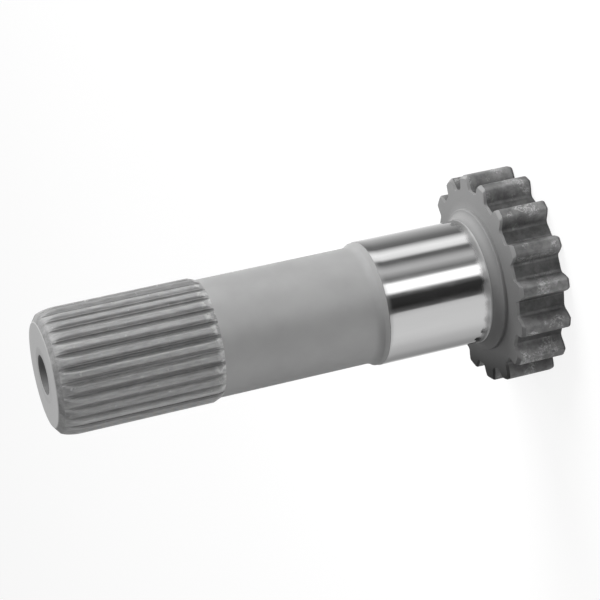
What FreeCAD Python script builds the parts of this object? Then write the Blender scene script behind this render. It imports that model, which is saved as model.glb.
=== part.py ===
import FreeCAD, Part
import math
import os

# Stub axle, forged and machined from one bar, standing on the flat end of its toothed head.
# Lengths are in millimetres and angles in degrees. Z runs up the axis to the splined end.

# Toothed head
head_length = 19.0
head_teeth = 16
head_module = 4.5
head_pressure_angle = 25.0
head_tooth_thickness = 5.8
head_addendum = 2.2
head_dedendum = 3.0
head_root_fillet = 1.4
head_tip_round = 1.1
head_back_bevel = 1.1
head_end_chamfer = 0.9

# Shoulder that the bearing seats on, above the head
shoulder_height = 3.5
shoulder_length = 1.4
shoulder_chamfer = 0.4

# Ground bearing journal, with the relief that clears the bearing's corner
journal_diameter = 45.0
journal_length = 43.6
journal_end_chamfer = 1.6
journal_end_drop = 0.3
relief_depth = 0.3
relief_run = 0.6
relief_fillet = 3.2

# Plain shank between journal and spline
step_height = 1.5
step_length = 3.4
step_corner_share = 0.45
shank_length = 58.5

# Spline, hobbed from the free end, with flat roots
spline_length = 58.5
spline_teeth = 28
spline_module = 1.5
spline_pressure_angle = 30.0
spline_tooth_thickness = 3.1
spline_addendum = 1.15
spline_dedendum = 0.22
spline_back_bevel = 2.8
spline_hob_diameter = 60.0
spline_runout_start = 3.6

# Free end: chamfer up to the roots, then a slow taper that leads the hub on
end_face_diameter = 36.6
end_chamfer_length = 1.9
end_chamfer_diameter = 41.7
end_lead_angle = 14.0

# Tapped hole in the free end, drilled to the tapping size
tapped_hole_diameter = 10.2
tapped_hole_depth = 32.0
drill_point_angle = 118.0
countersink_diameter = 14.2
countersink_angle = 60.0

# Turning centre in the head's end
centre_pilot_diameter = 4.0
centre_pilot_depth = 6.5
centre_mouth_diameter = 8.5
centre_angle = 60.0

# Radii
journal_radius = journal_diameter / 2
relief_radius = journal_radius - relief_depth
shoulder_radius = journal_radius + shoulder_height
shank_radius = journal_radius - step_height
head_pitch_radius = head_module * head_teeth / 2
head_tip_radius = head_pitch_radius + head_addendum
head_root_radius = head_pitch_radius - head_dedendum
spline_pitch_radius = spline_module * spline_teeth / 2
spline_tip_radius = spline_pitch_radius + spline_addendum
spline_root_radius = spline_pitch_radius - spline_dedendum

# Stations along the axis
head_back = head_length
shoulder_face = head_back + shoulder_length
journal_end = shoulder_face + journal_length
shank_end = journal_end + shank_length
free_end = shank_end + spline_length

# How far a cutting solid reaches past the metal that it cuts
CUT_CLEARANCE = 1.0

ORIGIN = FreeCAD.Vector(0, 0, 0)
AXIS = FreeCAD.Vector(0, 0, 1)


def line(start, end):
    return Part.LineSegment(start, end).toShape()


def arc(start, middle, end):
    return Part.Arc(start, middle, end).toShape()


def straight_chain(points):
    return [line(start, end) for start, end in zip(points, points[1:])]


def polar(radius, angle):
    """Point in the XY plane, with its angle in radians."""
    return FreeCAD.Vector(radius * math.cos(angle), radius * math.sin(angle), 0)


def turned(radius, height):
    """Point of a turned outline, in the XZ plane."""
    return FreeCAD.Vector(radius, 0, height)


def mirrored(point):
    return FreeCAD.Vector(point.x, -point.y, point.z)


def revolved(edges):
    return Part.Face(Part.Wire(edges)).revolve(ORIGIN, AXIS, 360)


def blended(start, corner, end):
    """Curve that leaves start towards a corner and reaches end from it."""
    curve = Part.BezierCurve()
    curve.setPoles([start, corner, end])
    return curve.toShape()


def involute(angle):
    """Involute function of a pressure angle in radians."""
    return math.tan(angle) - angle


def half_tooth_angle(radius, pitch_radius, pressure_angle, thickness):
    """Half the angle that an involute tooth spans at a radius, radial below its base circle."""
    pressure = math.radians(pressure_angle)
    base_radius = pitch_radius * math.cos(pressure)
    local = math.acos(min(1.0, base_radius / radius))
    return thickness / (2 * pitch_radius) + involute(pressure) - involute(local)


def circles_meet(centre_a, radius_a, centre_b, radius_b, near):
    """Of the two points where two circles cross, the one nearer to a third point."""
    between = centre_b - centre_a
    distance = between.Length
    along = (distance**2 + radius_a**2 - radius_b**2) / (2 * distance)
    across = math.sqrt(radius_a**2 - along**2)
    unit = between / distance
    middle = centre_a + unit * along
    side = FreeCAD.Vector(-unit.y, unit.x, 0) * across
    return min(middle + side, middle - side, key=lambda point: point.distanceToPoint(near))


def blend(flank, rim_radius, blend_radius, side, near):
    """Three points of the arc that runs a flank into a circle about the axis.

    Its centre lies outside both circles at a root, where side is 1, and inside both at a tip,
    where side is -1.
    """
    flank_reach = flank.Radius + side * blend_radius
    rim_reach = rim_radius + side * blend_radius
    centre = circles_meet(flank.Center, flank_reach, ORIGIN, rim_reach, near)
    on_flank = flank.Center + (centre - flank.Center) * (flank.Radius / flank_reach)
    on_rim = centre * (rim_radius / rim_reach)
    outward = (on_flank + on_rim) / 2 - centre
    outward.normalize()
    return on_flank, centre + outward * blend_radius, on_rim


def head_section():
    """Outline of the head's teeth, each a chain of arcs, with the first tooth centred on +X."""
    samples = []
    for radius in (head_root_radius, head_pitch_radius, head_tip_radius):
        angle = half_tooth_angle(radius, head_pitch_radius, head_pressure_angle, head_tooth_thickness)
        samples.append(polar(radius, angle))
    flank = arc(*samples).Curve
    pitch = 360.0 / head_teeth
    foot, foot_middle, floor = blend(flank, head_root_radius, head_root_fillet, 1, samples[0])
    top, top_middle, land = blend(flank, head_tip_radius, head_tip_round, -1, samples[2])
    flank_middle_radius = (foot.Length + top.Length) / 2
    flank_middle = circles_meet(flank.Center, flank.Radius, ORIGIN, flank_middle_radius, samples[1])
    falling = [land, top_middle, top, flank_middle, foot, foot_middle, floor]
    rising = [mirrored(point) for point in reversed(falling)]
    previous_floor = FreeCAD.Rotation(AXIS, -pitch).multVec(floor)
    gap_middle = polar(head_root_radius, -math.radians(pitch) / 2)
    path = [previous_floor, gap_middle] + rising + [polar(head_tip_radius, 0)] + falling

    edges = []
    for tooth in range(head_teeth):
        turn = FreeCAD.Rotation(AXIS, pitch * tooth)
        points = [turn.multVec(point) for point in path]
        for first in range(0, len(points) - 1, 2):
            edges.append(arc(points[first], points[first + 1], points[first + 2]))
    return Part.Face(Part.Wire(edges))


def toothed_head():
    """The head on its flat end, chamfered round that end's outline and bevelled behind its tips."""
    head = head_section().extrude(FreeCAD.Vector(0, 0, head_length))
    end_edges = [edge for edge in head.Edges if edge.BoundBox.ZMax < CUT_CLEARANCE / 2]
    chamfer = min(head_end_chamfer, 0.9 * head_tip_round, 0.9 * head_root_fillet)
    head = head.makeChamfer(chamfer, end_edges)
    over = head_tip_radius + CUT_CLEARANCE
    low = turned(over, head_back - head_back_bevel - CUT_CLEARANCE)
    high = turned(over, head_back + CUT_CLEARANCE)
    inner = turned(head_tip_radius - head_back_bevel - CUT_CLEARANCE, head_back + CUT_CLEARANCE)
    return head.cut(revolved([line(low, high), line(high, inner), line(inner, low)]))


def turned_shaft():
    """The head's core, shoulder, journal, shank and the spline's tips, as one turning."""
    relief_corner = min(relief_fillet, shoulder_radius - shoulder_chamfer - relief_radius)
    land_radius = journal_radius - journal_end_drop
    lead_radius = end_chamfer_diameter / 2
    lead_run = (spline_tip_radius - lead_radius) / math.tan(math.radians(end_lead_angle))
    lead_end = free_end - end_chamfer_length
    relief_top = shoulder_face + relief_corner

    core_and_shoulder = [
        turned(0, 0),
        turned(shoulder_radius, 0),
        turned(shoulder_radius, shoulder_face - shoulder_chamfer),
        turned(shoulder_radius - shoulder_chamfer, shoulder_face),
        turned(relief_radius + relief_corner, shoulder_face),
    ]
    journal = [
        turned(relief_radius, relief_top),
        turned(journal_radius, relief_top + relief_run),
        turned(journal_radius, journal_end - journal_end_chamfer),
        turned(land_radius, journal_end),
    ]
    shank_and_spline = [
        turned(shank_radius, journal_end + step_length),
        turned(shank_radius, shank_end),
        turned(spline_tip_radius, shank_end + spline_back_bevel),
        turned(spline_tip_radius, lead_end - lead_run),
        turned(lead_radius, lead_end),
        turned(end_face_diameter / 2, free_end),
        turned(0, free_end),
        turned(0, 0),
    ]
    relief_root = turned(relief_radius, shoulder_face)
    step_corner = turned(shank_radius, journal_end + step_length * step_corner_share)
    edges = straight_chain(core_and_shoulder)
    edges.append(blended(core_and_shoulder[-1], relief_root, journal[0]))
    edges += straight_chain(journal)
    edges.append(blended(journal[-1], step_corner, shank_and_spline[0]))
    edges += straight_chain(shank_and_spline)
    shaft = revolved(edges)
    shaft.rotate(ORIGIN, AXIS, 180.0 / spline_teeth)
    return shaft


def spline_gap():
    """Path of the hob along one gap: straight from the free end, then out on the hob's radius.

    The flanks are short enough to be straight between two points of their involute.
    """
    outer_radius = max(spline_tip_radius, shank_radius) + CUT_CLEARANCE
    flank = []
    for radius in (spline_root_radius, outer_radius):
        tooth = half_tooth_angle(
            radius, spline_pitch_radius, spline_pressure_angle, spline_tooth_thickness
        )
        flank.append(polar(radius, math.pi / spline_teeth - tooth))
    low, high = flank
    section = Part.Face(Part.Wire([
        arc(mirrored(low), polar(spline_root_radius, 0), low),
        line(low, high),
        line(high, mirrored(high)),
        line(mirrored(high), mirrored(low)),
    ]))
    runout = shank_end + spline_runout_start
    section.translate(FreeCAD.Vector(0, 0, runout))
    straight = section.extrude(FreeCAD.Vector(0, 0, free_end + CUT_CLEARANCE - runout))
    hob_radius = spline_hob_diameter / 2
    hob_centre = FreeCAD.Vector(spline_root_radius + hob_radius, 0, runout)
    depth_share = min(1.0, (outer_radius - spline_root_radius) / hob_radius)
    sweep = math.degrees(math.acos(1 - depth_share))
    rising = section.revolve(hob_centre, FreeCAD.Vector(0, -1, 0), sweep)
    return straight.fuse(rising)


def spline_gaps():
    """The gap's cutting solid in every place, half a pitch on from the tooth that lies on +X."""
    gap = spline_gap()
    gaps = []
    for index in range(spline_teeth):
        copy = gap.copy()
        copy.rotate(ORIGIN, AXIS, 360.0 / spline_teeth * (index + 0.5))
        gaps.append(copy)
    return gaps


def drilled_hole(mouth_height, inward, bore_radius, depth, mouth_radius, sink_angle):
    """Blind hole with a drill point and a countersunk mouth, where inward is 1 up or -1 down."""
    slope = math.tan(math.radians(sink_angle / 2))
    sink_depth = (mouth_radius - bore_radius) / slope
    point_depth = bore_radius / math.tan(math.radians(drill_point_angle / 2))
    outside = mouth_height - inward * CUT_CLEARANCE
    corners = [
        turned(0, mouth_height + inward * (depth + point_depth)),
        turned(bore_radius, mouth_height + inward * depth),
        turned(bore_radius, mouth_height + inward * sink_depth),
        turned(mouth_radius + CUT_CLEARANCE * slope, outside),
        turned(0, outside),
    ]
    return revolved(straight_chain(corners + corners[:1]))


def stub_axle():
    """Head and shaft as one piece, with the spline's gaps and the holes in both ends cut."""
    body = toothed_head().fuse(turned_shaft())
    body = body.cut(spline_gaps())
    tapped = drilled_hole(
        free_end,
        -1,
        tapped_hole_diameter / 2,
        tapped_hole_depth,
        countersink_diameter / 2,
        countersink_angle,
    )
    centre = drilled_hole(
        0,
        1,
        centre_pilot_diameter / 2,
        centre_pilot_depth,
        centre_mouth_diameter / 2,
        centre_angle,
    )
    return body.cut([tapped, centre]).removeSplitter().Solids[0]


os.makedirs("parts", exist_ok=True)
stub_axle().exportStep("parts/stub_axle.step")
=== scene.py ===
import math

import bmesh
import bpy
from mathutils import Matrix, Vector


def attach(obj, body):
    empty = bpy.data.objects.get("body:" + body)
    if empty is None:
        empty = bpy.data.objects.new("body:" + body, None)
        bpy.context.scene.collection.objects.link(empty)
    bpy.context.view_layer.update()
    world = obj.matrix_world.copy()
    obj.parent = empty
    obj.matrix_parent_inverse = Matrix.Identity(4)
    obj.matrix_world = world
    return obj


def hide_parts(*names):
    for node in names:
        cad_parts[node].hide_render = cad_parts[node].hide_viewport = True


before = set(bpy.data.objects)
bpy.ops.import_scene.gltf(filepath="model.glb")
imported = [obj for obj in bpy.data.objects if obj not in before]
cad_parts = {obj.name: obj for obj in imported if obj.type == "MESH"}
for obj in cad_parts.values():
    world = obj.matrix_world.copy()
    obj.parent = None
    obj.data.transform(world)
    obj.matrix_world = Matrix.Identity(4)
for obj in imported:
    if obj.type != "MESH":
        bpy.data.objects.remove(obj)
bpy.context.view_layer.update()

# The camera, where the photograph was taken from: beside and a little above the splined end,
# rolled until the standing axle lies across the picture. Places are in metres.
camera_place = (0.15367, -0.67958, 0.29924)
camera_turn = (-35.0504, 69.0693, -114.6840)
camera_lens = 123.68
camera_data = bpy.data.cameras.new("camera")
camera_data.lens = camera_lens
camera_data.sensor_width = 36.0
camera_data.clip_start = 0.01
camera = bpy.data.objects.new("camera", camera_data)
camera.location = camera_place
camera.rotation_euler = [math.radians(turn) for turn in camera_turn]
bpy.context.scene.collection.objects.link(camera)
bpy.context.scene.camera = camera
bpy.context.scene.view_settings.view_transform = "Standard"


# The studio: a pale floor under the axle, a white surround, and soft lamps. Steel shows what stands
# round it, so the surround has strip lamps and dark screens at fixed bearings round the axle.
floor_colour = "#F4F4F4"
floor_half = 4.0
# How far the camera sees the floor as plain white; the rest keeps a trace of shadow.
floor_whitening = 0.85
surround_diffuse = 0.42
surround_gain = 2.0
# The low stops are seen by steel that looks down at the table, the high ones by all that looks up,
# and they blend between these two heights on a sphere of radius 1 round the axle.
low_below = -0.22
high_above = 0.05
# Bearing round the axle in degrees, and how bright the surround is there, where 1 is plain white.
low_stops = [
    (-180, 0.72), (-166, 0.88), (-150, 0.95), (-116, 0.90), (-107.5, 0.80), (-105.5, 0.14),
    (-96, 0.03), (-80, 0.05), (-73, 0.22), (-68, 1.9), (-54, 2.0), (-49, 0.45),
    (-44, 0.25), (-30, 0.74), (-24, 0.66), (-13, 0.18), (-8, 0.2), (-1, 1.25), (9, 1.45),
    (15, 1.2), (27, 0.2), (37, 0.26), (56, 0.55), (76, 0.80), (96, 1.10), (112, 0.85),
    (133, 0.34), (149, 0.42), (163, 0.60), (180, 0.72),
]
high_stops = [
    (-180, 0.25), (-140, 0.18), (-100, 0.26), (-60, 0.50), (-20, 0.85), (20, 1.10), (60, 0.95),
    (100, 0.62), (140, 0.38), (180, 0.25),
]
# The lamps all point at one place on the axle. Each has its name, its place and size in metres and
# its power in watts, and the key lamp is the one that shades the axle.
lamp_aim = Vector((0, 0, 0.08))
lamps = [
    ("key_lamp", (1.45, 0.15, 0.95), 1.0, 42.0),
    ("fill_lamp", (-1.3, -0.9, 0.7), 1.4, 0.8),
    ("front_lamp", (0.5, -1.3, 0.9), 1.2, 5.0),
    ("back_lamp", (0.17, 0.29, 0.12), 0.16, 0.8),
]


def linear(hex_colour):
    """Linear colour of an sRGB hex value."""
    parts = [int(hex_colour[i:i + 2], 16) / 255 for i in (1, 3, 5)]
    return tuple(p / 12.92 if p <= 0.04045 else ((p + 0.055) / 1.055) ** 2.4 for p in parts) + (1.0,)


def node(tree, kind, inputs=None, **settings):
    """Adds a node. inputs gives each named or numbered socket a value or another node's output."""
    made = tree.nodes.new(kind)
    for name, value in settings.items():
        setattr(made, name, value)
    for name, value in (inputs or {}).items():
        if isinstance(value, bpy.types.NodeSocket):
            tree.links.new(value, made.inputs[name])
        else:
            made.inputs[name].default_value = value
    return made


def new_finish(name):
    """An empty material and its node tree."""
    finish = bpy.data.materials.new(name)
    finish.use_nodes = True
    finish.node_tree.nodes.clear()
    return finish, finish.node_tree


def set_stops(ramp, stops):
    """Gives a colour ramp its stops, each a place from 0 to 1 and a grey level or a colour."""
    elements = ramp.color_ramp.elements
    while len(elements) > 1:
        elements.remove(elements[-1])
    for number, (place, shade) in enumerate(stops):
        element = elements[0] if number == 0 else elements.new(place)
        element.position = place
        element.color = shade if isinstance(shade, tuple) else (shade, shade, shade, 1.0)


world = bpy.data.worlds.new("surround")
bpy.context.scene.world = world
world.use_nodes = True
air = world.node_tree
air.nodes.clear()
toward = node(air, "ShaderNodeTexCoord")
toward_parts = node(air, "ShaderNodeSeparateXYZ", {"Vector": toward.outputs["Generated"]})
bearing = node(air, "ShaderNodeMath", {0: toward_parts.outputs["Y"], 1: toward_parts.outputs["X"]},
               operation="ARCTAN2")
bearing_share = node(air, "ShaderNodeMath", {0: bearing.outputs[0], 1: 0.5 / math.pi, 2: 0.5},
                     operation="MULTIPLY_ADD")
screens = node(air, "ShaderNodeValToRGB", {"Fac": bearing_share.outputs[0]})
set_stops(screens, [((angle + 180) / 360, level / surround_gain) for angle, level in low_stops])
tent = node(air, "ShaderNodeValToRGB", {"Fac": bearing_share.outputs[0]})
set_stops(tent, [((angle + 180) / 360, level / surround_gain) for angle, level in high_stops])
upward = node(air, "ShaderNodeMapRange",
              {"Value": toward_parts.outputs["Z"], "From Min": low_below, "From Max": high_above})
round_about = node(air, "ShaderNodeMix",
                   {0: upward.outputs[0], 6: screens.outputs["Color"], 7: tent.outputs["Color"]},
                   data_type="RGBA")
ray = node(air, "ShaderNodeLightPath")
reflected = node(air, "ShaderNodeBackground",
                 {"Color": round_about.outputs[2], "Strength": surround_gain})
seen = node(air, "ShaderNodeBackground", {"Color": (1, 1, 1, 1), "Strength": 1.0})
soft = node(air, "ShaderNodeBackground", {"Color": (1, 1, 1, 1), "Strength": surround_diffuse})
seen_rays = node(air, "ShaderNodeMath",
                 {0: ray.outputs["Is Camera Ray"], 1: ray.outputs["Is Transmission Ray"]},
                 operation="MAXIMUM")
glossy_mix = node(air, "ShaderNodeMixShader",
                  {0: ray.outputs["Is Glossy Ray"], 1: soft.outputs[0], 2: reflected.outputs[0]})
seen_mix = node(air, "ShaderNodeMixShader",
                {0: seen_rays.outputs[0], 1: glossy_mix.outputs[0], 2: seen.outputs[0]})
node(air, "ShaderNodeOutputWorld", {"Surface": seen_mix.outputs[0]})

for lamp_name, lamp_place, lamp_size, lamp_power in lamps:
    lamp_data = bpy.data.lights.new(lamp_name, "AREA")
    lamp_data.shape = "DISK"
    lamp_data.size = lamp_size
    lamp_data.energy = lamp_power
    lamp = bpy.data.objects.new(lamp_name, lamp_data)
    lamp.location = lamp_place
    aim = lamp_aim - Vector(lamp_place)
    lamp.rotation_euler = aim.to_track_quat("-Z", "Y").to_euler()
    lamp.visible_glossy = False
    lamp.visible_camera = False
    bpy.context.scene.collection.objects.link(lamp)

floor_mesh = bpy.data.meshes.new("floor")
floor_mesh.from_pydata(
    [(-floor_half, -floor_half, 0), (floor_half, -floor_half, 0),
     (floor_half, floor_half, 0), (-floor_half, floor_half, 0)], [], [(0, 1, 2, 3)])
floor_paint, floor_tree = new_finish("pale_floor_paint")
floor_ray = node(floor_tree, "ShaderNodeLightPath")
floor_grain = node(floor_tree, "ShaderNodeTexNoise", {"Scale": 40.0, "Detail": 3.0})
floor_bump = node(floor_tree, "ShaderNodeBump",
                  {"Height": floor_grain.outputs["Fac"], "Strength": 0.02, "Distance": 0.001})
floor_matt = node(floor_tree, "ShaderNodeBsdfDiffuse",
                  {"Color": linear(floor_colour), "Normal": floor_bump.outputs[0]})
floor_white = node(floor_tree, "ShaderNodeEmission", {"Color": (1, 1, 1, 1), "Strength": 1.0})
floor_share = node(floor_tree, "ShaderNodeMath",
                   {0: floor_ray.outputs["Is Camera Ray"], 1: floor_whitening},
                   operation="MULTIPLY")
floor_mix = node(floor_tree, "ShaderNodeMixShader",
                 {0: floor_share.outputs[0], 1: floor_matt.outputs[0], 2: floor_white.outputs[0]})
node(floor_tree, "ShaderNodeOutputMaterial", {"Surface": floor_mix.outputs[0]})
floor_mesh.materials.append(floor_paint)
floor = bpy.data.objects.new("floor", floor_mesh)
floor.visible_glossy = False
bpy.context.scene.collection.objects.link(floor)


# The toothed head: sixteen coarse teeth cut in the bar's forged end, with the bearing's shoulder and
# the hollow fillet turned behind them and a turning centre in the flat end. The teeth keep their dark
# phosphated skin. Sizes from here on are in millimetres, and times MM they are metres.
MM = 0.001
head_teeth = 16
head_module = 4.5
head_pressure = math.radians(25.0)
head_tooth_width = 5.8
head_tip = 38.2
head_root = 33.0
head_root_round = 1.4
head_tip_round = 1.1
head_height = 19.0
head_end_round = 1.1
head_back_bevel = 1.1
shoulder_radius = 26.0
shoulder_top = 20.4
shoulder_round = 0.5
fillet_foot = 25.4
fillet_corner = (23.1, 21.2)
fillet_top = (22.7, 23.3)
centre_mouth = 4.25
centre_pilot = 2.0
centre_depth = 6.5
centre_cone = math.tan(math.radians(30.0))
drill_cone = math.tan(math.radians(59.0))
cove_width = 0.3
cove_height = 0.1
# Extra rings lie this close beside the back bevel, so that it stays crisp when it is shaded smooth.
edge_gap = 0.25
# Rings on the two flat sides: how far inside the root circle, and how much they bunch up like it.
end_rings = ((9.0, 0.3), (2.2, 0.9))
back_rings = ((1.2, 0.9), (4.0, 0.3))
# How far the phosphate is worn, from 0 to 1, over a tooth. It fades down the flank step by step.
land_wear = 0.8
tip_wear = 0.9
flank_wear = 0.85
flank_fade = 0.08
root_wear = 0.3
bevel_wear = 0.5


def involute(angle):
    return math.tan(angle) - angle


def half_tooth(radius, pitch_radius, pressure, width):
    """Half the angle that a tooth spans at a radius, from its width at the pitch circle."""
    local = math.acos(min(1.0, pitch_radius * math.cos(pressure) / radius))
    return width / (2 * pitch_radius) + involute(pressure) - involute(local)


def polar(radius, angle):
    return Vector((radius * math.cos(angle), radius * math.sin(angle)))


def circle_through(a, b, c):
    """Centre and radius of the circle through three points."""
    ab, ac = b - a, c - a
    twice = 2 * (ab.x * ac.y - ab.y * ac.x)
    x = (ac.y * ab.length_squared - ab.y * ac.length_squared) / twice
    y = (ab.x * ac.length_squared - ac.x * ab.length_squared) / twice
    return a + Vector((x, y)), math.hypot(x, y)


def circles_cross(a, radius_a, b, radius_b, near):
    """Of the two points where two circles cross, the one nearer to a third point."""
    gap = b - a
    along = (gap.length_squared + radius_a ** 2 - radius_b ** 2) / (2 * gap.length)
    across = math.sqrt(radius_a ** 2 - along ** 2)
    unit = gap.normalized()
    side = Vector((-unit.y, unit.x)) * across
    middle = a + unit * along
    return min(middle + side, middle - side, key=lambda point: (point - near).length)


def arc_points(centre, start, end, count):
    """Points along the short arc between two points round a centre, without the last."""
    first = math.atan2(start.y - centre.y, start.x - centre.x)
    sweep = math.atan2(end.y - centre.y, end.x - centre.x) - first
    sweep = (sweep + math.pi) % (2 * math.pi) - math.pi
    radius = (start - centre).length
    return [centre + polar(radius, first + sweep * i / count) for i in range(count)]


def tooth_outline():
    """One pitch of the head's outline, from gap middle to gap middle, with a wear share each."""
    pitch_radius = head_module * head_teeth / 2
    samples = [polar(r, half_tooth(r, pitch_radius, head_pressure, head_tooth_width))
               for r in (head_root, pitch_radius, head_tip)]
    flank, flank_radius = circle_through(*samples)
    axis = Vector((0, 0))
    joins = []
    for rim, blend, side, near in ((head_root, head_root_round, 1, samples[0]),
                                   (head_tip, head_tip_round, -1, samples[2])):
        centre = circles_cross(flank, flank_radius + side * blend, axis, rim + side * blend, near)
        on_flank = flank + (centre - flank) * (flank_radius / (flank_radius + side * blend))
        on_rim = centre * (rim / (rim + side * blend))
        joins.append((centre, on_flank, on_rim))
    (root_centre, foot, floor_point), (tip_centre, top, land) = joins
    half_pitch = math.pi / head_teeth
    upper = []
    upper += [(p, land_wear) for p in arc_points(axis, polar(head_tip, 0), land, 3)]
    upper += [(p, tip_wear) for p in arc_points(tip_centre, land, top, 4)]
    upper += [(p, flank_wear - flank_fade * i)
              for i, p in enumerate(arc_points(flank, top, foot, 5))]
    upper += [(p, root_wear) for p in arc_points(root_centre, foot, floor_point, 4)]
    upper += [(p, 0.0) for p in arc_points(axis, floor_point, polar(head_root, half_pitch), 2)]
    upper += [(polar(head_root, half_pitch), 0.0)]
    lower = [(Vector((p.x, -p.y)), wear) for p, wear in reversed(upper[1:])]
    return lower + upper


def sector_mesh(name, rows, wears=None):
    """Mesh of one sector, from rows of points that run round it. Points are in millimetres."""
    across = len(rows[0])
    points = [Vector(p) * MM for row in rows for p in row]
    faces = []
    for i in range(len(rows) - 1):
        for j in range(across - 1):
            a = i * across + j
            faces.append((a, a + 1, a + across + 1, a + across))
    mesh = bpy.data.meshes.new(name)
    mesh.from_pydata(points, [], faces)
    wear = mesh.attributes.new("wear", "FLOAT", "POINT")
    wear.data.foreach_set("value", [w for row in wears for w in row] if wears else [0.0] * len(points))
    return mesh


def repeat_tree():
    """Node tree that repeats one sector round the axle, welds it and gives it its finish."""
    tree = bpy.data.node_groups.new("repeat_round_axle", "GeometryNodeTree")
    for name, kind in (("Sector", "Geometry"), ("Count", "Int"), ("Weld", "Float"),
                       ("Finish", "Material")):
        tree.interface.new_socket(name, in_out="INPUT", socket_type=f"NodeSocket{kind}")
    tree.interface.new_socket("Piece", in_out="OUTPUT", socket_type="NodeSocketGeometry")
    given = node(tree, "NodeGroupInput")
    places = node(tree, "GeometryNodeMeshLine",
                  {"Count": given.outputs["Count"], "Offset": (0, 0, 0)}, mode="OFFSET")
    index = node(tree, "GeometryNodeInputIndex")
    step = node(tree, "ShaderNodeMath", {0: 2 * math.pi, 1: given.outputs["Count"]},
                operation="DIVIDE")
    turn = node(tree, "ShaderNodeMath", {0: index.outputs[0], 1: step.outputs[0]},
                operation="MULTIPLY")
    about_axle = node(tree, "ShaderNodeCombineXYZ", {"Z": turn.outputs[0]})
    spread = node(tree, "GeometryNodeInstanceOnPoints",
                  {"Points": places.outputs[0], "Instance": given.outputs["Sector"],
                   "Rotation": about_axle.outputs[0]})
    whole = node(tree, "GeometryNodeRealizeInstances", {"Geometry": spread.outputs[0]})
    weld = node(tree, "GeometryNodeMergeByDistance",
                {"Geometry": whole.outputs[0], "Distance": given.outputs["Weld"]})
    finish = node(tree, "GeometryNodeSetMaterial",
                  {"Geometry": weld.outputs[0], "Material": given.outputs["Finish"]})
    node(tree, "NodeGroupOutput", {"Piece": finish.outputs[0]})
    return tree


round_axle = repeat_tree()


def settle(mesh, smooth_angle):
    """Closes a mesh's seams and poles, turns its faces outwards and shades it smooth."""
    shell = bmesh.new()
    shell.from_mesh(mesh)
    bmesh.ops.remove_doubles(shell, verts=shell.verts, dist=1e-7)
    bmesh.ops.dissolve_degenerate(shell, edges=shell.edges, dist=1e-8)
    bmesh.ops.recalc_face_normals(shell, faces=shell.faces)
    shell.to_mesh(mesh)
    shell.free()
    mesh.shade_smooth()
    mesh.set_sharp_from_angle(angle=math.radians(smooth_angle))


def repeated_piece(name, sector, count, finish, smooth_angle=35.0):
    """The whole piece, from one sector of it repeated round the axle."""
    holder = bpy.data.objects.new(name + "_sector", sector)
    bpy.context.scene.collection.objects.link(holder)
    modifier = holder.modifiers.new("repeat", "NODES")
    modifier.node_group = round_axle
    given = {"Count": count, "Weld": 1e-6, "Finish": finish}
    for socket in round_axle.interface.items_tree:
        if socket.in_out == "INPUT" and socket.name in given:
            modifier[socket.identifier] = given[socket.name]
    bpy.context.view_layer.update()
    shown = holder.evaluated_get(bpy.context.evaluated_depsgraph_get())
    mesh = bpy.data.meshes.new_from_object(shown)
    bpy.data.objects.remove(holder)
    settle(mesh, smooth_angle)
    mesh.name = name
    piece = bpy.data.objects.new(name, mesh)
    bpy.context.scene.collection.objects.link(piece)
    return piece


def quadratic(start, corner, end, count):
    """Points of a smooth sweep from start to end that leaves and arrives towards the corner."""
    swept = []
    for i in range(1, count + 1):
        t = i / count
        swept.append(tuple((1 - t) ** 2 * a + 2 * t * (1 - t) * b + t * t * c
                           for a, b, c in zip(start, corner, end)))
    return swept


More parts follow.
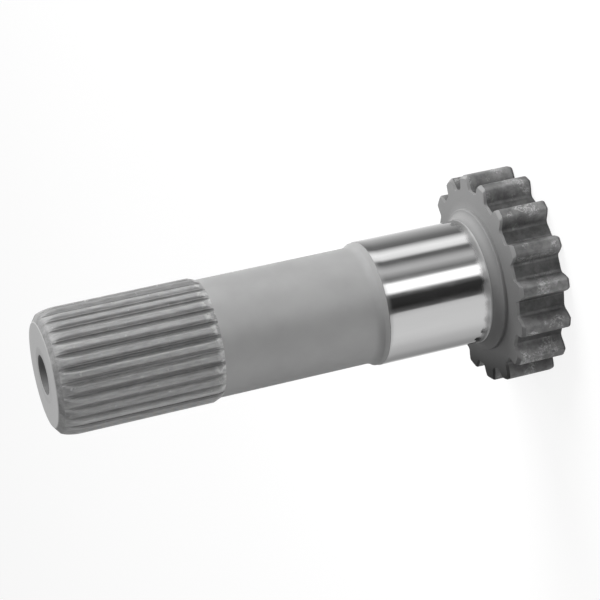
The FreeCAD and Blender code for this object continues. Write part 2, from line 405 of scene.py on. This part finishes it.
def head_sector():
    """One pitch of the head, ring by ring from the turning centre round to the fillet's top."""
    outline = tooth_outline()
    points = [p for p, _ in outline]
    angles = [math.atan2(p.y, p.x) for p in points]
    half_pitch = math.pi / head_teeth
    even = [-half_pitch + 2 * half_pitch * i / (len(outline) - 1) for i in range(len(outline))]
    points_before = [polar(points[-2].length, angles[-2] - 2 * half_pitch)] + points[:-1]
    points_after = points[1:] + [polar(points[1].length, angles[1] + 2 * half_pitch)]
    rows, wears = [], []

    def circle_row(radius, height, share=0.0):
        """A ring whose points bunch up as the outline's do, by a share."""
        turns = [e + (a - e) * share for e, a in zip(even, angles)]
        rows.append([(radius * math.cos(t), radius * math.sin(t), height) for t in turns])
        wears.append([0.0] * len(outline))

    def outline_row(height, inset=0.0, limit=math.inf, wear=None):
        """The outline, shrunk by an inset, cut off at a radius and worn as given or by itself."""
        row = []
        for p, before, after in zip(points, points_before, points_after):
            along = (after - before).normalized()
            inward = Vector((-along.y, along.x))
            q = p + inward * inset
            if q.length > limit:
                q = q * (limit / q.length)
            row.append((q.x, q.y, height))
        rows.append(row)
        wears.append([w if wear is None else wear for _, w in outline])

    circle_row(0.0, centre_depth + centre_pilot / drill_cone)
    circle_row(centre_pilot, centre_depth)
    circle_row(centre_pilot, (centre_mouth - centre_pilot) / centre_cone)
    circle_row(centre_mouth, 0.0)
    for inside, share in end_rings:
        circle_row(head_root - inside, 0.0, share)
    corner_steps = 5
    for i in range(corner_steps + 1):
        turn = math.pi / 2 * i / corner_steps
        outline_row(head_end_round * (1 - math.cos(turn)), head_end_round * (1 - math.sin(turn)),
                    wear=0.0 if i < corner_steps else None)
    bevel_foot = head_height - head_back_bevel
    for i in range(1, 6):
        outline_row(head_end_round + (bevel_foot - head_end_round) * i / 6)
    outline_row(bevel_foot - edge_gap)
    for i in range(4):
        share = i / 3
        outline_row(head_height - head_back_bevel * (1 - share),
                    limit=head_tip - head_back_bevel * share, wear=bevel_wear)
    outline_row(head_height, edge_gap, head_tip - head_back_bevel - edge_gap)
    for inside, share in back_rings:
        circle_row(head_root - inside, head_height, share)
    circle_row(shoulder_radius + cove_width, head_height)
    circle_row(shoulder_radius, head_height + cove_height)
    circle_row(shoulder_radius, shoulder_top - shoulder_round)
    for radius, height in quadratic((shoulder_radius, shoulder_top - shoulder_round),
                                    (shoulder_radius, shoulder_top),
                                    (shoulder_radius - shoulder_round, shoulder_top), 4):
        circle_row(radius, height)
    circle_row(fillet_foot, shoulder_top)
    for radius, height in quadratic((fillet_foot, shoulder_top), fillet_corner, fillet_top, 10):
        circle_row(radius, height)
    circle_row(0.0, fillet_top[1])
    return sector_mesh("head_sector", rows, wears)


# Phosphated forging steel: a dark conversion coat over the cut teeth, worn lighter on their tops and
# scratched bare in patches, and a turned satin back. Painted shade darkens the back and the teeth's back
# bevels towards one side, where the journal's shadow falls, to nearly black at the tooth tips there.
# Patches are about 6 mm, clouds 12 mm, mottle 2.4 mm, scratches 0.7 mm and grain 0.3 mm.
phosphate_dark = "#525252"
phosphate_light = "#7E7E7E"
rubbed_steel = "#ACACAC"
turned_back = "#8E8E8E"
# Painted shade: the back grows darker towards one side and nearly black at the tooth tips there.
painted_shade_back = "#696969"
painted_shade_rim = "#1E1E1E"
painted_shade_bearing = math.radians(178)
painted_shade_direction = (math.cos(painted_shade_bearing), math.sin(painted_shade_bearing), 0.0)
painted_shade_reach = (-30 * MM, 34 * MM)
turned_above = (head_height - head_back_bevel - 0.02) * MM
phosphated, coat = new_finish("phosphated_forging")
coat_place = node(coat, "ShaderNodeTexCoord")
grain = node(coat, "ShaderNodeTexNoise",
             {"Vector": coat_place.outputs["Object"], "Scale": 3000.0, "Detail": 2.0})
patches = node(coat, "ShaderNodeTexNoise",
               {"Vector": coat_place.outputs["Object"], "Scale": 165.0, "Detail": 2.0})
mottle = node(coat, "ShaderNodeTexNoise",
              {"Vector": coat_place.outputs["Object"], "Scale": 420.0, "Detail": 4.0, "Roughness": 0.65})
mottle_shade = node(coat, "ShaderNodeMapRange",
                    {"Value": mottle.outputs["Fac"], "From Min": 0.38, "From Max": 0.58,
                     "To Min": 0.72, "To Max": 1.0})
scratches = node(coat, "ShaderNodeTexNoise",
                 {"Vector": coat_place.outputs["Object"], "Scale": 1400.0, "Detail": 3.0,
                  "Roughness": 0.7})
worn = node(coat, "ShaderNodeAttribute", attribute_name="wear")
coat_grey = node(coat, "ShaderNodeMix",
                 {0: worn.outputs["Fac"], 6: linear(phosphate_dark), 7: linear(phosphate_light)},
                 data_type="RGBA")
patch_share = node(coat, "ShaderNodeMapRange",
                   {"Value": patches.outputs["Fac"], "From Min": 0.54, "From Max": 0.63})
scratch_share = node(coat, "ShaderNodeMapRange",
                     {"Value": scratches.outputs["Fac"], "From Min": 0.46, "From Max": 0.58})
bare_share = node(coat, "ShaderNodeMath",
                  {0: patch_share.outputs[0], 1: scratch_share.outputs[0]}, operation="MULTIPLY")
bare_worn = node(coat, "ShaderNodeMath",
                 {0: bare_share.outputs[0], 1: worn.outputs["Fac"]}, operation="MULTIPLY")
coat_clouds = node(coat, "ShaderNodeTexNoise",
                   {"Vector": coat_place.outputs["Object"], "Scale": 85.0, "Detail": 1.0})
cloud_shade = node(coat, "ShaderNodeMapRange",
                   {"Value": coat_clouds.outputs["Fac"], "From Min": 0.35, "From Max": 0.65,
                    "To Min": 0.75, "To Max": 1.3})
coat_shade = node(coat, "ShaderNodeMath", {0: mottle_shade.outputs[0], 1: cloud_shade.outputs[0]},
                  operation="MULTIPLY")
mottled_grey = node(coat, "ShaderNodeMix",
                    {0: 1.0, 6: coat_grey.outputs[2], 7: coat_shade.outputs[0]},
                    data_type="RGBA", blend_type="MULTIPLY")
scratched_grey = node(coat, "ShaderNodeMix",
                      {0: bare_worn.outputs[0], 6: mottled_grey.outputs[2], 7: linear(rubbed_steel)},
                      data_type="RGBA")
coat_parts = node(coat, "ShaderNodeSeparateXYZ", {"Vector": coat_place.outputs["Object"]})
on_back = node(coat, "ShaderNodeMath",
               {0: coat_parts.outputs["Z"], 1: turned_above}, operation="GREATER_THAN")
# Painted shade across the back, deepening towards the bearing set above.
painted_shade_side = node(coat, "ShaderNodeVectorMath",
                  {0: coat_place.outputs["Object"], 1: painted_shade_direction}, operation="DOT_PRODUCT")
painted_shade_share = node(coat, "ShaderNodeMapRange",
                   {"Value": painted_shade_side.outputs["Value"], "From Min": painted_shade_reach[0],
                    "From Max": painted_shade_reach[1]})
back_grey_and_painted_shade = node(coat, "ShaderNodeValToRGB", {"Fac": painted_shade_share.outputs[0]})
set_stops(back_grey_and_painted_shade, [(0.0, linear(turned_back)), (0.86, linear(painted_shade_back)),
                      (1.0, linear(painted_shade_rim))])
coat_colour = node(coat, "ShaderNodeMix",
                   {0: on_back.outputs[0], 6: scratched_grey.outputs[2], 7: back_grey_and_painted_shade.outputs["Color"]},
                   data_type="RGBA")
coat_rough = node(coat, "ShaderNodeMapRange",
                  {"Value": on_back.outputs[0], "To Min": 0.50, "To Max": 0.52})
coat_metal = node(coat, "ShaderNodeMapRange",
                  {"Value": on_back.outputs[0], "To Min": 0.50, "To Max": 0.45})
coat_relief = node(coat, "ShaderNodeMath",
                   {0: bare_share.outputs[0], 1: 1.2, 2: grain.outputs["Fac"]},
                   operation="MULTIPLY_ADD")
coat_bump = node(coat, "ShaderNodeBump",
                 {"Height": coat_relief.outputs[0], "Strength": 0.3, "Distance": 0.00006})
coat_face = node(coat, "ShaderNodeBsdfPrincipled",
                 {"Base Color": coat_colour.outputs[2], "Roughness": coat_rough.outputs[0],
                  "Metallic": coat_metal.outputs[0], "Normal": coat_bump.outputs[0]})
node(coat, "ShaderNodeOutputMaterial", {"Surface": coat_face.outputs[0]})

toothed_head = repeated_piece("toothed_head", head_sector(), head_teeth, phosphated)
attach(toothed_head, "root")
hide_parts("stub_axle")


# The bearing journal: turned, hardened and ground to a bearing seat, nearly a mirror. Its foot rises
# from the head's fillet over a narrow ground rim, and its other end has a fine chamfer.
journal_radius = 22.5
journal_start = 24.2
journal_stop = 62.4
rim_corner = 0.35
# How far in and how far back the points of the fine chamfer lie.
seat_chamfer = ((0.0, 0.15), (0.03, 0.03), (0.12, 0.0))
turned_sectors = 144


def turned_sector(name, profile):
    """One narrow sector of a turned piece, from its outline of radius and height."""
    turn = 2 * math.pi / turned_sectors
    rows = [[(r, 0, z), (r * math.cos(turn), r * math.sin(turn), z)] for r, z in profile]
    return sector_mesh(name, rows)


# Ground bearing steel: bright and smooth, with hair-fine grinding lines round it. The real lines are
# 0.02 mm apart, too fine to show, so they are drawn at about 0.25 mm and kept very faint. A haze in
# spots of 2.4 by 12 mm makes its gloss uneven, and the foot beside the fillet is duller.
ground_grey = "#C8C8C8"
dull_foot = ((journal_start + 2.8) * MM, (journal_start + 0.6) * MM)
ground, seat = new_finish("ground_bearing_steel")
seat_place = node(seat, "ShaderNodeTexCoord")
line_place = node(seat, "ShaderNodeMapping",
                  {"Vector": seat_place.outputs["Object"], "Scale": (0.04, 0.04, 1.0)})
grind = node(seat, "ShaderNodeTexNoise",
             {"Vector": line_place.outputs[0], "Scale": 4000.0, "Detail": 3.0})
haze_place = node(seat, "ShaderNodeMapping",
                  {"Vector": seat_place.outputs["Object"], "Scale": (1.0, 1.0, 0.2)})
haze = node(seat, "ShaderNodeTexNoise",
            {"Vector": haze_place.outputs[0], "Scale": 420.0, "Detail": 4.0})
seat_haze = node(seat, "ShaderNodeMapRange",
                 {"Value": haze.outputs["Fac"], "From Min": 0.35, "From Max": 0.7,
                  "To Min": 0.03, "To Max": 0.15})
seat_parts = node(seat, "ShaderNodeSeparateXYZ", {"Vector": seat_place.outputs["Object"]})
seat_foot = node(seat, "ShaderNodeMapRange",
                 {"Value": seat_parts.outputs["Z"], "From Min": dull_foot[0],
                  "From Max": dull_foot[1], "To Min": 0.0, "To Max": 0.28})
seat_rough = node(seat, "ShaderNodeMath", {0: seat_haze.outputs[0], 1: seat_foot.outputs[0]},
                  operation="ADD")
seat_bump = node(seat, "ShaderNodeBump",
                 {"Height": grind.outputs["Fac"], "Strength": 0.06, "Distance": 0.00002})
seat_face = node(seat, "ShaderNodeBsdfPrincipled",
                 {"Base Color": linear(ground_grey), "Metallic": 1.0,
                  "Roughness": seat_rough.outputs[0], "Normal": seat_bump.outputs[0]})
node(seat, "ShaderNodeOutputMaterial", {"Surface": seat_face.outputs[0]})

journal_profile = [(0.0, fillet_top[1]), fillet_top]
journal_profile += quadratic(fillet_top, (journal_radius, fillet_top[1] + rim_corner),
                             (journal_radius, journal_start), 6)
journal_profile += [(journal_radius, journal_start + (journal_stop - journal_start) * i / 12)
                    for i in range(1, 12)]
journal_profile += [(journal_radius - inside, journal_stop - back) for inside, back in seat_chamfer]
journal_profile += [(0.0, journal_stop)]
bearing_journal = repeated_piece("bearing_journal", turned_sector("journal_sector", journal_profile),
                                 turned_sectors, ground)
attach(bearing_journal, "root")


# The shank: turned down from the journal over a curved step, and left satin by shot peening. Its
# step begins as a narrow sloping land beside the ground seat.
seat_end = (journal_radius - seat_chamfer[-1][0], journal_stop)
land_edge = (journal_radius - 0.2, journal_stop + 0.25)
land_radius = 22.2
land_top = 64.0
shank_radius = 21.0
shank_start = 67.4
shank_stop = 122.5
step_corner = 65.53

# Peened turned steel: even satin grey with a fine grain of about 0.3 mm and hardly any clouding,
# about 12 mm across. The lathe's lines show weakly under it, drawn at about 0.4 mm.
satin_grey = "#A5A5A5"
satin_dark = "#9F9F9F"
peened, skin = new_finish("peened_turned_steel")
skin_place = node(skin, "ShaderNodeTexCoord")
clouds = node(skin, "ShaderNodeTexNoise",
              {"Vector": skin_place.outputs["Object"], "Scale": 80.0, "Detail": 3.0})
peen = node(skin, "ShaderNodeTexNoise",
            {"Vector": skin_place.outputs["Object"], "Scale": 3300.0, "Detail": 2.0})
lathe_place = node(skin, "ShaderNodeMapping",
                   {"Vector": skin_place.outputs["Object"], "Scale": (0.05, 0.05, 1.0)})
lathe = node(skin, "ShaderNodeTexNoise",
             {"Vector": lathe_place.outputs[0], "Scale": 2500.0, "Detail": 2.0})
skin_colour = node(skin, "ShaderNodeValToRGB", {"Fac": clouds.outputs["Fac"]})
set_stops(skin_colour, [(0.35, linear(satin_dark)), (0.65, linear(satin_grey))])
skin_rough = node(skin, "ShaderNodeMapRange",
                  {"Value": clouds.outputs["Fac"], "To Min": 0.54, "To Max": 0.58})
skin_relief = node(skin, "ShaderNodeMath",
                   {0: lathe.outputs["Fac"], 1: 0.4, 2: peen.outputs["Fac"]},
                   operation="MULTIPLY_ADD")
skin_bump = node(skin, "ShaderNodeBump",
                 {"Height": skin_relief.outputs[0], "Strength": 0.25, "Distance": 0.00003})
skin_face = node(skin, "ShaderNodeBsdfPrincipled",
                 {"Base Color": skin_colour.outputs[0], "Metallic": 0.6,
                  "Roughness": skin_rough.outputs[0], "Normal": skin_bump.outputs[0]})
node(skin, "ShaderNodeOutputMaterial", {"Surface": skin_face.outputs[0]})

shank_profile = [(0.0, journal_stop), seat_end, land_edge, (land_radius, land_top)]
shank_profile += quadratic((land_radius, land_top), (shank_radius, step_corner),
                           (shank_radius, shank_start), 10)
shank_profile += [(shank_radius, shank_start + (shank_stop - shank_start) * i / 12)
                  for i in range(1, 13)]
shank_profile += [(0.0, shank_stop)]
shank = repeated_piece("shank", turned_sector("shank_sector", shank_profile), turned_sectors, peened)
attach(shank, "root")


# The splined end: 28 shallow teeth hobbed from the free end, so each gap starts as a leaf in the
# lead-in taper and ends in a curved run-out, where the hob lifted away from the shank.
spline_teeth = 28
spline_pitch = 21.0
spline_tip = 22.15
spline_root = 20.74
spline_gap_half = 0.806
spline_flank = math.tan(math.radians(30.0))
root_round = 0.62
tip_blend = 0.56
foot_blend = 0.12
blend_length = 4.0
bowl_share = 0.45
spline_bevel_end = 125.3
runout_start = 124.9
runout_reach = 4.6
hob_radius = 30.0
free_end = 181.0
end_face_radius = 18.3
end_chamfer_length = 1.9
end_chamfer_radius = 20.85
lead_start = 172.0
lead_power = 2.6
core_radius = 10.0
core_floor = 140.0
hidden_inset = 3.0
face_gap = 0.2
chamfer_wear = 0.6
chamfer_margin = 0.1
# Places across half a gap, from its middle, and heights of the rings where its shape stays the same.
gap_side = [0.0, 0.2, 0.36, 0.5, 0.62, 0.78, 0.95, 1.1, 1.22, 1.32, 1.42, 1.54, 1.68, 1.86, 2.1]
gap_heights = [130, 137, 144, 151, 158, 165, 170]


def blank_radius(height):
    """Radius of the turned blank before the gaps were cut."""
    if height <= spline_bevel_end:
        share = max(0.0, (height - shank_stop) / (spline_bevel_end - shank_stop))
        return shank_radius + (spline_tip - shank_radius) * share
    chamfer_start = free_end - end_chamfer_length
    if height <= lead_start:
        return spline_tip
    if height <= chamfer_start:
        share = (height - lead_start) / (chamfer_start - lead_start)
        return spline_tip - (spline_tip - end_chamfer_radius) * share ** lead_power
    share = (height - chamfer_start) / end_chamfer_length
    return end_chamfer_radius - (end_chamfer_radius - end_face_radius) * share


def gap_radius(across, height):
    """Radius of the gap's surface at a distance across from its middle."""
    lift = 0.0
    if height < runout_start:
        back = runout_start - height
        lift = hob_radius - math.sqrt(hob_radius ** 2 - back ** 2)
    reach = abs(across)
    flank = (reach - spline_gap_half) / spline_flank + spline_pitch
    round_centre = spline_root + root_round
    bowl = round_centre - math.sqrt(max(root_round ** 2 - min(reach, root_round) ** 2, 0.0))
    return lift + (max(flank, bowl) if reach > bowl_share * root_round else bowl)


def smooth_least(a, b, blend):
    """The lesser of two lengths, rounded where they cross."""
    share = max(blend - abs(a - b), 0.0) / blend
    return min(a, b) - share * share * blend / 4


def spline_sector():
    """One pitch of the splined end, ring by ring from the shank round to the wall of the core."""
    side = gap_side + [math.pi / spline_teeth * spline_pitch]
    across = [-x for x in reversed(side[1:])] + side
    chamfer_start = free_end - end_chamfer_length
    heights = [shank_stop + runout_reach * i / 20 for i in range(21)]
    heights += gap_heights + [lead_start]
    heights += [lead_start + (chamfer_start - lead_start) * i / 16 for i in range(1, 17)]
    heights += [chamfer_start + end_chamfer_length * i / 5 for i in range(1, 6)]
    rows, wears = [], []

    def ring_point(radius, x, height):
        turn = x / spline_pitch
        return (radius * math.cos(turn), radius * math.sin(turn), height)

    def circle_row(radius, height):
        rows.append([ring_point(radius, x, height) for x in across])
        wears.append([0.0] * len(across))

    circle_row(0.0, shank_stop)
    circle_row(shank_radius - hidden_inset, shank_stop)
    for height in heights:
        row, wear = [], []
        blank = blank_radius(height)
        growth = min(1.0, (height - shank_stop) / blend_length)
        blend = foot_blend + (tip_blend - foot_blend) * growth
        most_worn = chamfer_wear if height > chamfer_start + chamfer_margin else 1.0
        for x in across:
            radius = min(smooth_least(blank, gap_radius(x, height), blend), blank)
            row.append(ring_point(radius, x, height))
            depth = (blank - radius) / (spline_tip - spline_root)
            wear.append(min(most_worn, max(0.0, 1 - depth)))
        rows.append(row)
        wears.append(wear)
    circle_row(end_face_radius - face_gap, free_end)
    circle_row(core_radius, free_end)
    circle_row(core_radius, core_floor)
    circle_row(0.0, core_floor)
    return sector_mesh("spline_sector", rows, wears)


# Hobbed steel under a light phosphate wash: crests polished by the hub, darker gaps with the hob's
# streaks along them, bright nicks on the crests and burrs at the run-out. On the side toward the key
# lamp the crests and gaps are painted towards one even grey, painted light that flattens their shading.
# Streaks are 0.4 mm wide and 13 mm long, blotches 1 by 5 mm, nicks and burrs 2 mm, and the polish
# changes from tooth to tooth, over 4.3 mm. A narrow strip next to the end face is painted in the faced
# end's light grey, a painted highlight along its rim.
hobbed_crest = "#A0A0A0"
hobbed_root = "#808080"
painted_even_light_grey = "#8F8F8F"
painted_even_light_bearing = math.radians(8)
painted_even_light_direction = (math.cos(painted_even_light_bearing), math.sin(painted_even_light_bearing), 0.0)
painted_even_light_reach = (12 * MM, 20 * MM)
burr_limits = ((spline_bevel_end + 1.8) * MM, (spline_bevel_end + 0.2) * MM)
nick_grey = "#B8B8B8"
faced_grey = "#B2B2B2"
# Depth in millimetres of the painted highlight strip along the end face's rim.
rim_highlight_depth = 0.22
hobbed, cut = new_finish("hobbed_steel")
cut_place = node(cut, "ShaderNodeTexCoord")
streak_place = node(cut, "ShaderNodeMapping",
                    {"Vector": cut_place.outputs["Object"], "Scale": (1.0, 1.0, 0.03)})
streaks = node(cut, "ShaderNodeTexNoise",
               {"Vector": streak_place.outputs[0], "Scale": 2600.0, "Detail": 3.0})
blotch_place = node(cut, "ShaderNodeMapping",
                    {"Vector": cut_place.outputs["Object"], "Scale": (1.0, 1.0, 0.22)})
blotches = node(cut, "ShaderNodeTexNoise",
                {"Vector": blotch_place.outputs[0], "Scale": 950.0, "Detail": 5.0,
                 "Roughness": 0.6})
crest = node(cut, "ShaderNodeAttribute", attribute_name="wear")
crest_reach = node(cut, "ShaderNodeMath",
                   {0: streaks.outputs["Fac"], 1: 0.5, 2: crest.outputs["Fac"]},
                   operation="MULTIPLY_ADD")
crest_share = node(cut, "ShaderNodeMapRange",
                   {"Value": crest_reach.outputs[0], "From Min": 0.55, "From Max": 1.2})
tooth_colour = node(cut, "ShaderNodeMix",
                    {0: crest_share.outputs[0], 6: linear(hobbed_root), 7: linear(hobbed_crest)},
                    data_type="RGBA")
cut_parts = node(cut, "ShaderNodeSeparateXYZ", {"Vector": cut_place.outputs["Object"]})
blotch_shade = node(cut, "ShaderNodeMapRange",
                    {"Value": blotches.outputs["Fac"], "From Min": 0.35, "From Max": 0.62,
                     "To Min": 0.80, "To Max": 1.06})
# Painted light: towards the key lamp's side the tooth colour is pulled to one even grey, flattening the
# shading there.
painted_even_light_side = node(cut, "ShaderNodeVectorMath",
                 {0: cut_place.outputs["Object"], 1: painted_even_light_direction}, operation="DOT_PRODUCT")
painted_even_light_share = node(cut, "ShaderNodeMapRange",
                  {"Value": painted_even_light_side.outputs["Value"], "From Min": painted_even_light_reach[0],
                   "From Max": painted_even_light_reach[1], "To Min": 0.0, "To Max": 0.9})
painted_even_light = node(cut, "ShaderNodeMix",
              {0: painted_even_light_share.outputs[0], 6: tooth_colour.outputs[2], 7: linear(painted_even_light_grey)},
              data_type="RGBA")
polish = node(cut, "ShaderNodeTexNoise",
              {"Vector": streak_place.outputs[0], "Scale": 230.0, "Detail": 1.0})
polish_shade = node(cut, "ShaderNodeMapRange",
                    {"Value": polish.outputs["Fac"], "From Min": 0.36, "From Max": 0.64,
                     "To Min": 0.84, "To Max": 1.2})
cut_shade = node(cut, "ShaderNodeMath", {0: blotch_shade.outputs[0], 1: polish_shade.outputs[0]},
                 operation="MULTIPLY")
blotched = node(cut, "ShaderNodeMix",
                {0: 1.0, 6: painted_even_light.outputs[2], 7: cut_shade.outputs[0]},
                data_type="RGBA", blend_type="MULTIPLY")
dents = node(cut, "ShaderNodeTexNoise",
             {"Vector": cut_place.outputs["Object"], "Scale": 480.0, "Detail": 2.0})
dent_share = node(cut, "ShaderNodeMapRange",
                  {"Value": dents.outputs["Fac"], "From Min": 0.67, "From Max": 0.76})
dent_worn = node(cut, "ShaderNodeMath",
                 {0: dent_share.outputs[0], 1: crest_share.outputs[0]}, operation="MULTIPLY")
burr_reach = node(cut, "ShaderNodeMapRange",
                  {"Value": cut_parts.outputs["Z"], "From Min": burr_limits[0],
                   "From Max": burr_limits[1]})
burr_broken = node(cut, "ShaderNodeMapRange",
                   {"Value": dents.outputs["Fac"], "From Min": 0.48, "From Max": 0.62})
burr_share = node(cut, "ShaderNodeMath",
                  {0: burr_reach.outputs[0], 1: burr_broken.outputs[0]}, operation="MULTIPLY")
burr_worn = node(cut, "ShaderNodeMath",
                 {0: burr_share.outputs[0], 1: crest_share.outputs[0]}, operation="MULTIPLY")
bright_share = node(cut, "ShaderNodeMath",
                    {0: dent_worn.outputs[0], 1: burr_worn.outputs[0]}, operation="MAXIMUM")
nicked = node(cut, "ShaderNodeMix",
              {0: bright_share.outputs[0], 6: blotched.outputs[2], 7: linear(nick_grey)},
              data_type="RGBA")
# Painted highlight: a narrow strip of the chamfer next to the end face takes the faced end's light grey.
painted_rim_highlight = node(cut, "ShaderNodeMath",
               {0: cut_parts.outputs["Z"], 1: (free_end - rim_highlight_depth) * MM},
               operation="GREATER_THAN")
cut_colour = node(cut, "ShaderNodeMix",
                  {0: painted_rim_highlight.outputs[0], 6: nicked.outputs[2], 7: linear(faced_grey)},
                  data_type="RGBA")
cut_rough = node(cut, "ShaderNodeMapRange",
                 {"Value": blotches.outputs["Fac"], "To Min": 0.36, "To Max": 0.54})
cut_relief = node(cut, "ShaderNodeMath",
                  {0: blotches.outputs["Fac"], 1: 1.5, 2: streaks.outputs["Fac"]},
                  operation="MULTIPLY_ADD")
cut_bump = node(cut, "ShaderNodeBump",
                {"Height": cut_relief.outputs[0], "Strength": 0.5, "Distance": 0.00006})
cut_face = node(cut, "ShaderNodeBsdfPrincipled",
                {"Base Color": cut_colour.outputs[2], "Metallic": 0.55,
                 "Roughness": cut_rough.outputs[0], "Normal": cut_bump.outputs[0]})
node(cut, "ShaderNodeOutputMaterial", {"Surface": cut_face.outputs[0]})

splined_end = repeated_piece("splined_end", spline_sector(), spline_teeth, hobbed, 30.0)
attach(splined_end, "root")


# The tapped hole in the free end: drilled, countersunk at 60 degrees and tapped with a coarse
# 12 mm thread, with the ring of end face round it, which is faced in the lathe.
tapping_radius = 5.1
thread_radius = 5.95
thread_pitch = 1.75
thread_depth = 28.5
hole_depth = 32.0
sink_radius = 7.1
sink_slope = math.tan(math.radians(30.0))
lip_width = 0.15
lip_depth = 0.05
wall_top = free_end - 0.1
wall_low = free_end - hole_depth
thread_sharpness = 1.15
round_steps = 96
turn_steps = 8

# Faced steel: light grey with fine rings round the axis from the facing tool, which are 0.1 mm
# apart on the real one and drawn at about 0.35 mm. Below the end face, in the countersink and the hole,
# the same steel is coloured dark, a little darker over the first 5 mm down.
faced_dark = "#A4A4A4"
hole_dark = "#5A5A5A"
dark_below = (free_end - 0.08) * MM
dark_reach = ((free_end - 0.1) * MM, (free_end - 5.0) * MM)
faced, end_tree = new_finish("faced_steel")
end_place = node(end_tree, "ShaderNodeTexCoord")
end_parts = node(end_tree, "ShaderNodeSeparateXYZ", {"Vector": end_place.outputs["Object"]})
rings = node(end_tree, "ShaderNodeTexWave",
             {"Vector": end_place.outputs["Object"], "Scale": 900.0, "Distortion": 0.6, "Detail": 2.0},
             wave_type="RINGS", rings_direction="Z")
end_tone = node(end_tree, "ShaderNodeMix",
                {0: rings.outputs["Fac"], 6: linear(faced_dark), 7: linear(faced_grey)},
                data_type="RGBA")
in_hole = node(end_tree, "ShaderNodeMapRange",
               {"Value": end_parts.outputs["Z"], "From Min": dark_reach[0],
                "From Max": dark_reach[1], "To Min": 0.85, "To Max": 1.0})
below_face = node(end_tree, "ShaderNodeMath",
                  {0: end_parts.outputs["Z"], 1: dark_below}, operation="LESS_THAN")
dark_share = node(end_tree, "ShaderNodeMath",
                  {0: in_hole.outputs[0], 1: below_face.outputs[0]}, operation="MULTIPLY")
end_colour = node(end_tree, "ShaderNodeMix",
                  {0: dark_share.outputs[0], 6: end_tone.outputs[2], 7: linear(hole_dark)},
                  data_type="RGBA")
end_bump = node(end_tree, "ShaderNodeBump",
                {"Height": rings.outputs["Fac"], "Strength": 0.1, "Distance": 0.00002})
end_face = node(end_tree, "ShaderNodeBsdfPrincipled",
                {"Base Color": end_colour.outputs[2], "Metallic": 0.6, "Roughness": 0.45,
                 "Normal": end_bump.outputs[0]})
node(end_tree, "ShaderNodeOutputMaterial", {"Surface": end_face.outputs[0]})


def hole_wall(angle, height):
    """Radius of the tapped wall, a helical thread opened out by the countersink."""
    turn = (height / thread_pitch - angle / (2 * math.pi)) % 1.0
    groove = 1 - abs(2 * turn - 1)
    cut_share = min(1.0, max(0.0, (height - (free_end - thread_depth)) / thread_pitch))
    bite = min(1.0, thread_sharpness * groove) * cut_share
    thread = tapping_radius + (thread_radius - tapping_radius) * bite
    sink = sink_radius - (free_end - height) * sink_slope
    return max(thread, sink)


def tapped_core_mesh():
    """The core, ring by ring: its outside, the end face, the tapped wall and the drill's point."""
    angles = [2 * math.pi * j / round_steps for j in range(round_steps + 1)]
    outside = [(0.0, core_floor), (core_radius, core_floor), (core_radius, free_end),
               (sink_radius + lip_width, free_end), (sink_radius, free_end - lip_depth)]
    rows = [[(r * math.cos(a), r * math.sin(a), height) for a in angles] for r, height in outside]
    steps = int((wall_top - wall_low) / thread_pitch * turn_steps)
    for i in range(steps + 1):
        height = wall_top - (wall_top - wall_low) * i / steps
        row = []
        for angle in angles:
            radius = hole_wall(angle, height)
            row.append((radius * math.cos(angle), radius * math.sin(angle), height))
        rows.append(row)
    rows.append([(0.0, 0.0, wall_low - tapping_radius / drill_cone)] * len(angles))
    return sector_mesh("tapped_core", rows)


core_mesh = tapped_core_mesh()
core_mesh.materials.append(faced)
settle(core_mesh, 35.0)
tapped_core = bpy.data.objects.new("tapped_core", core_mesh)
bpy.context.scene.collection.objects.link(tapped_core)
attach(tapped_core, "root")
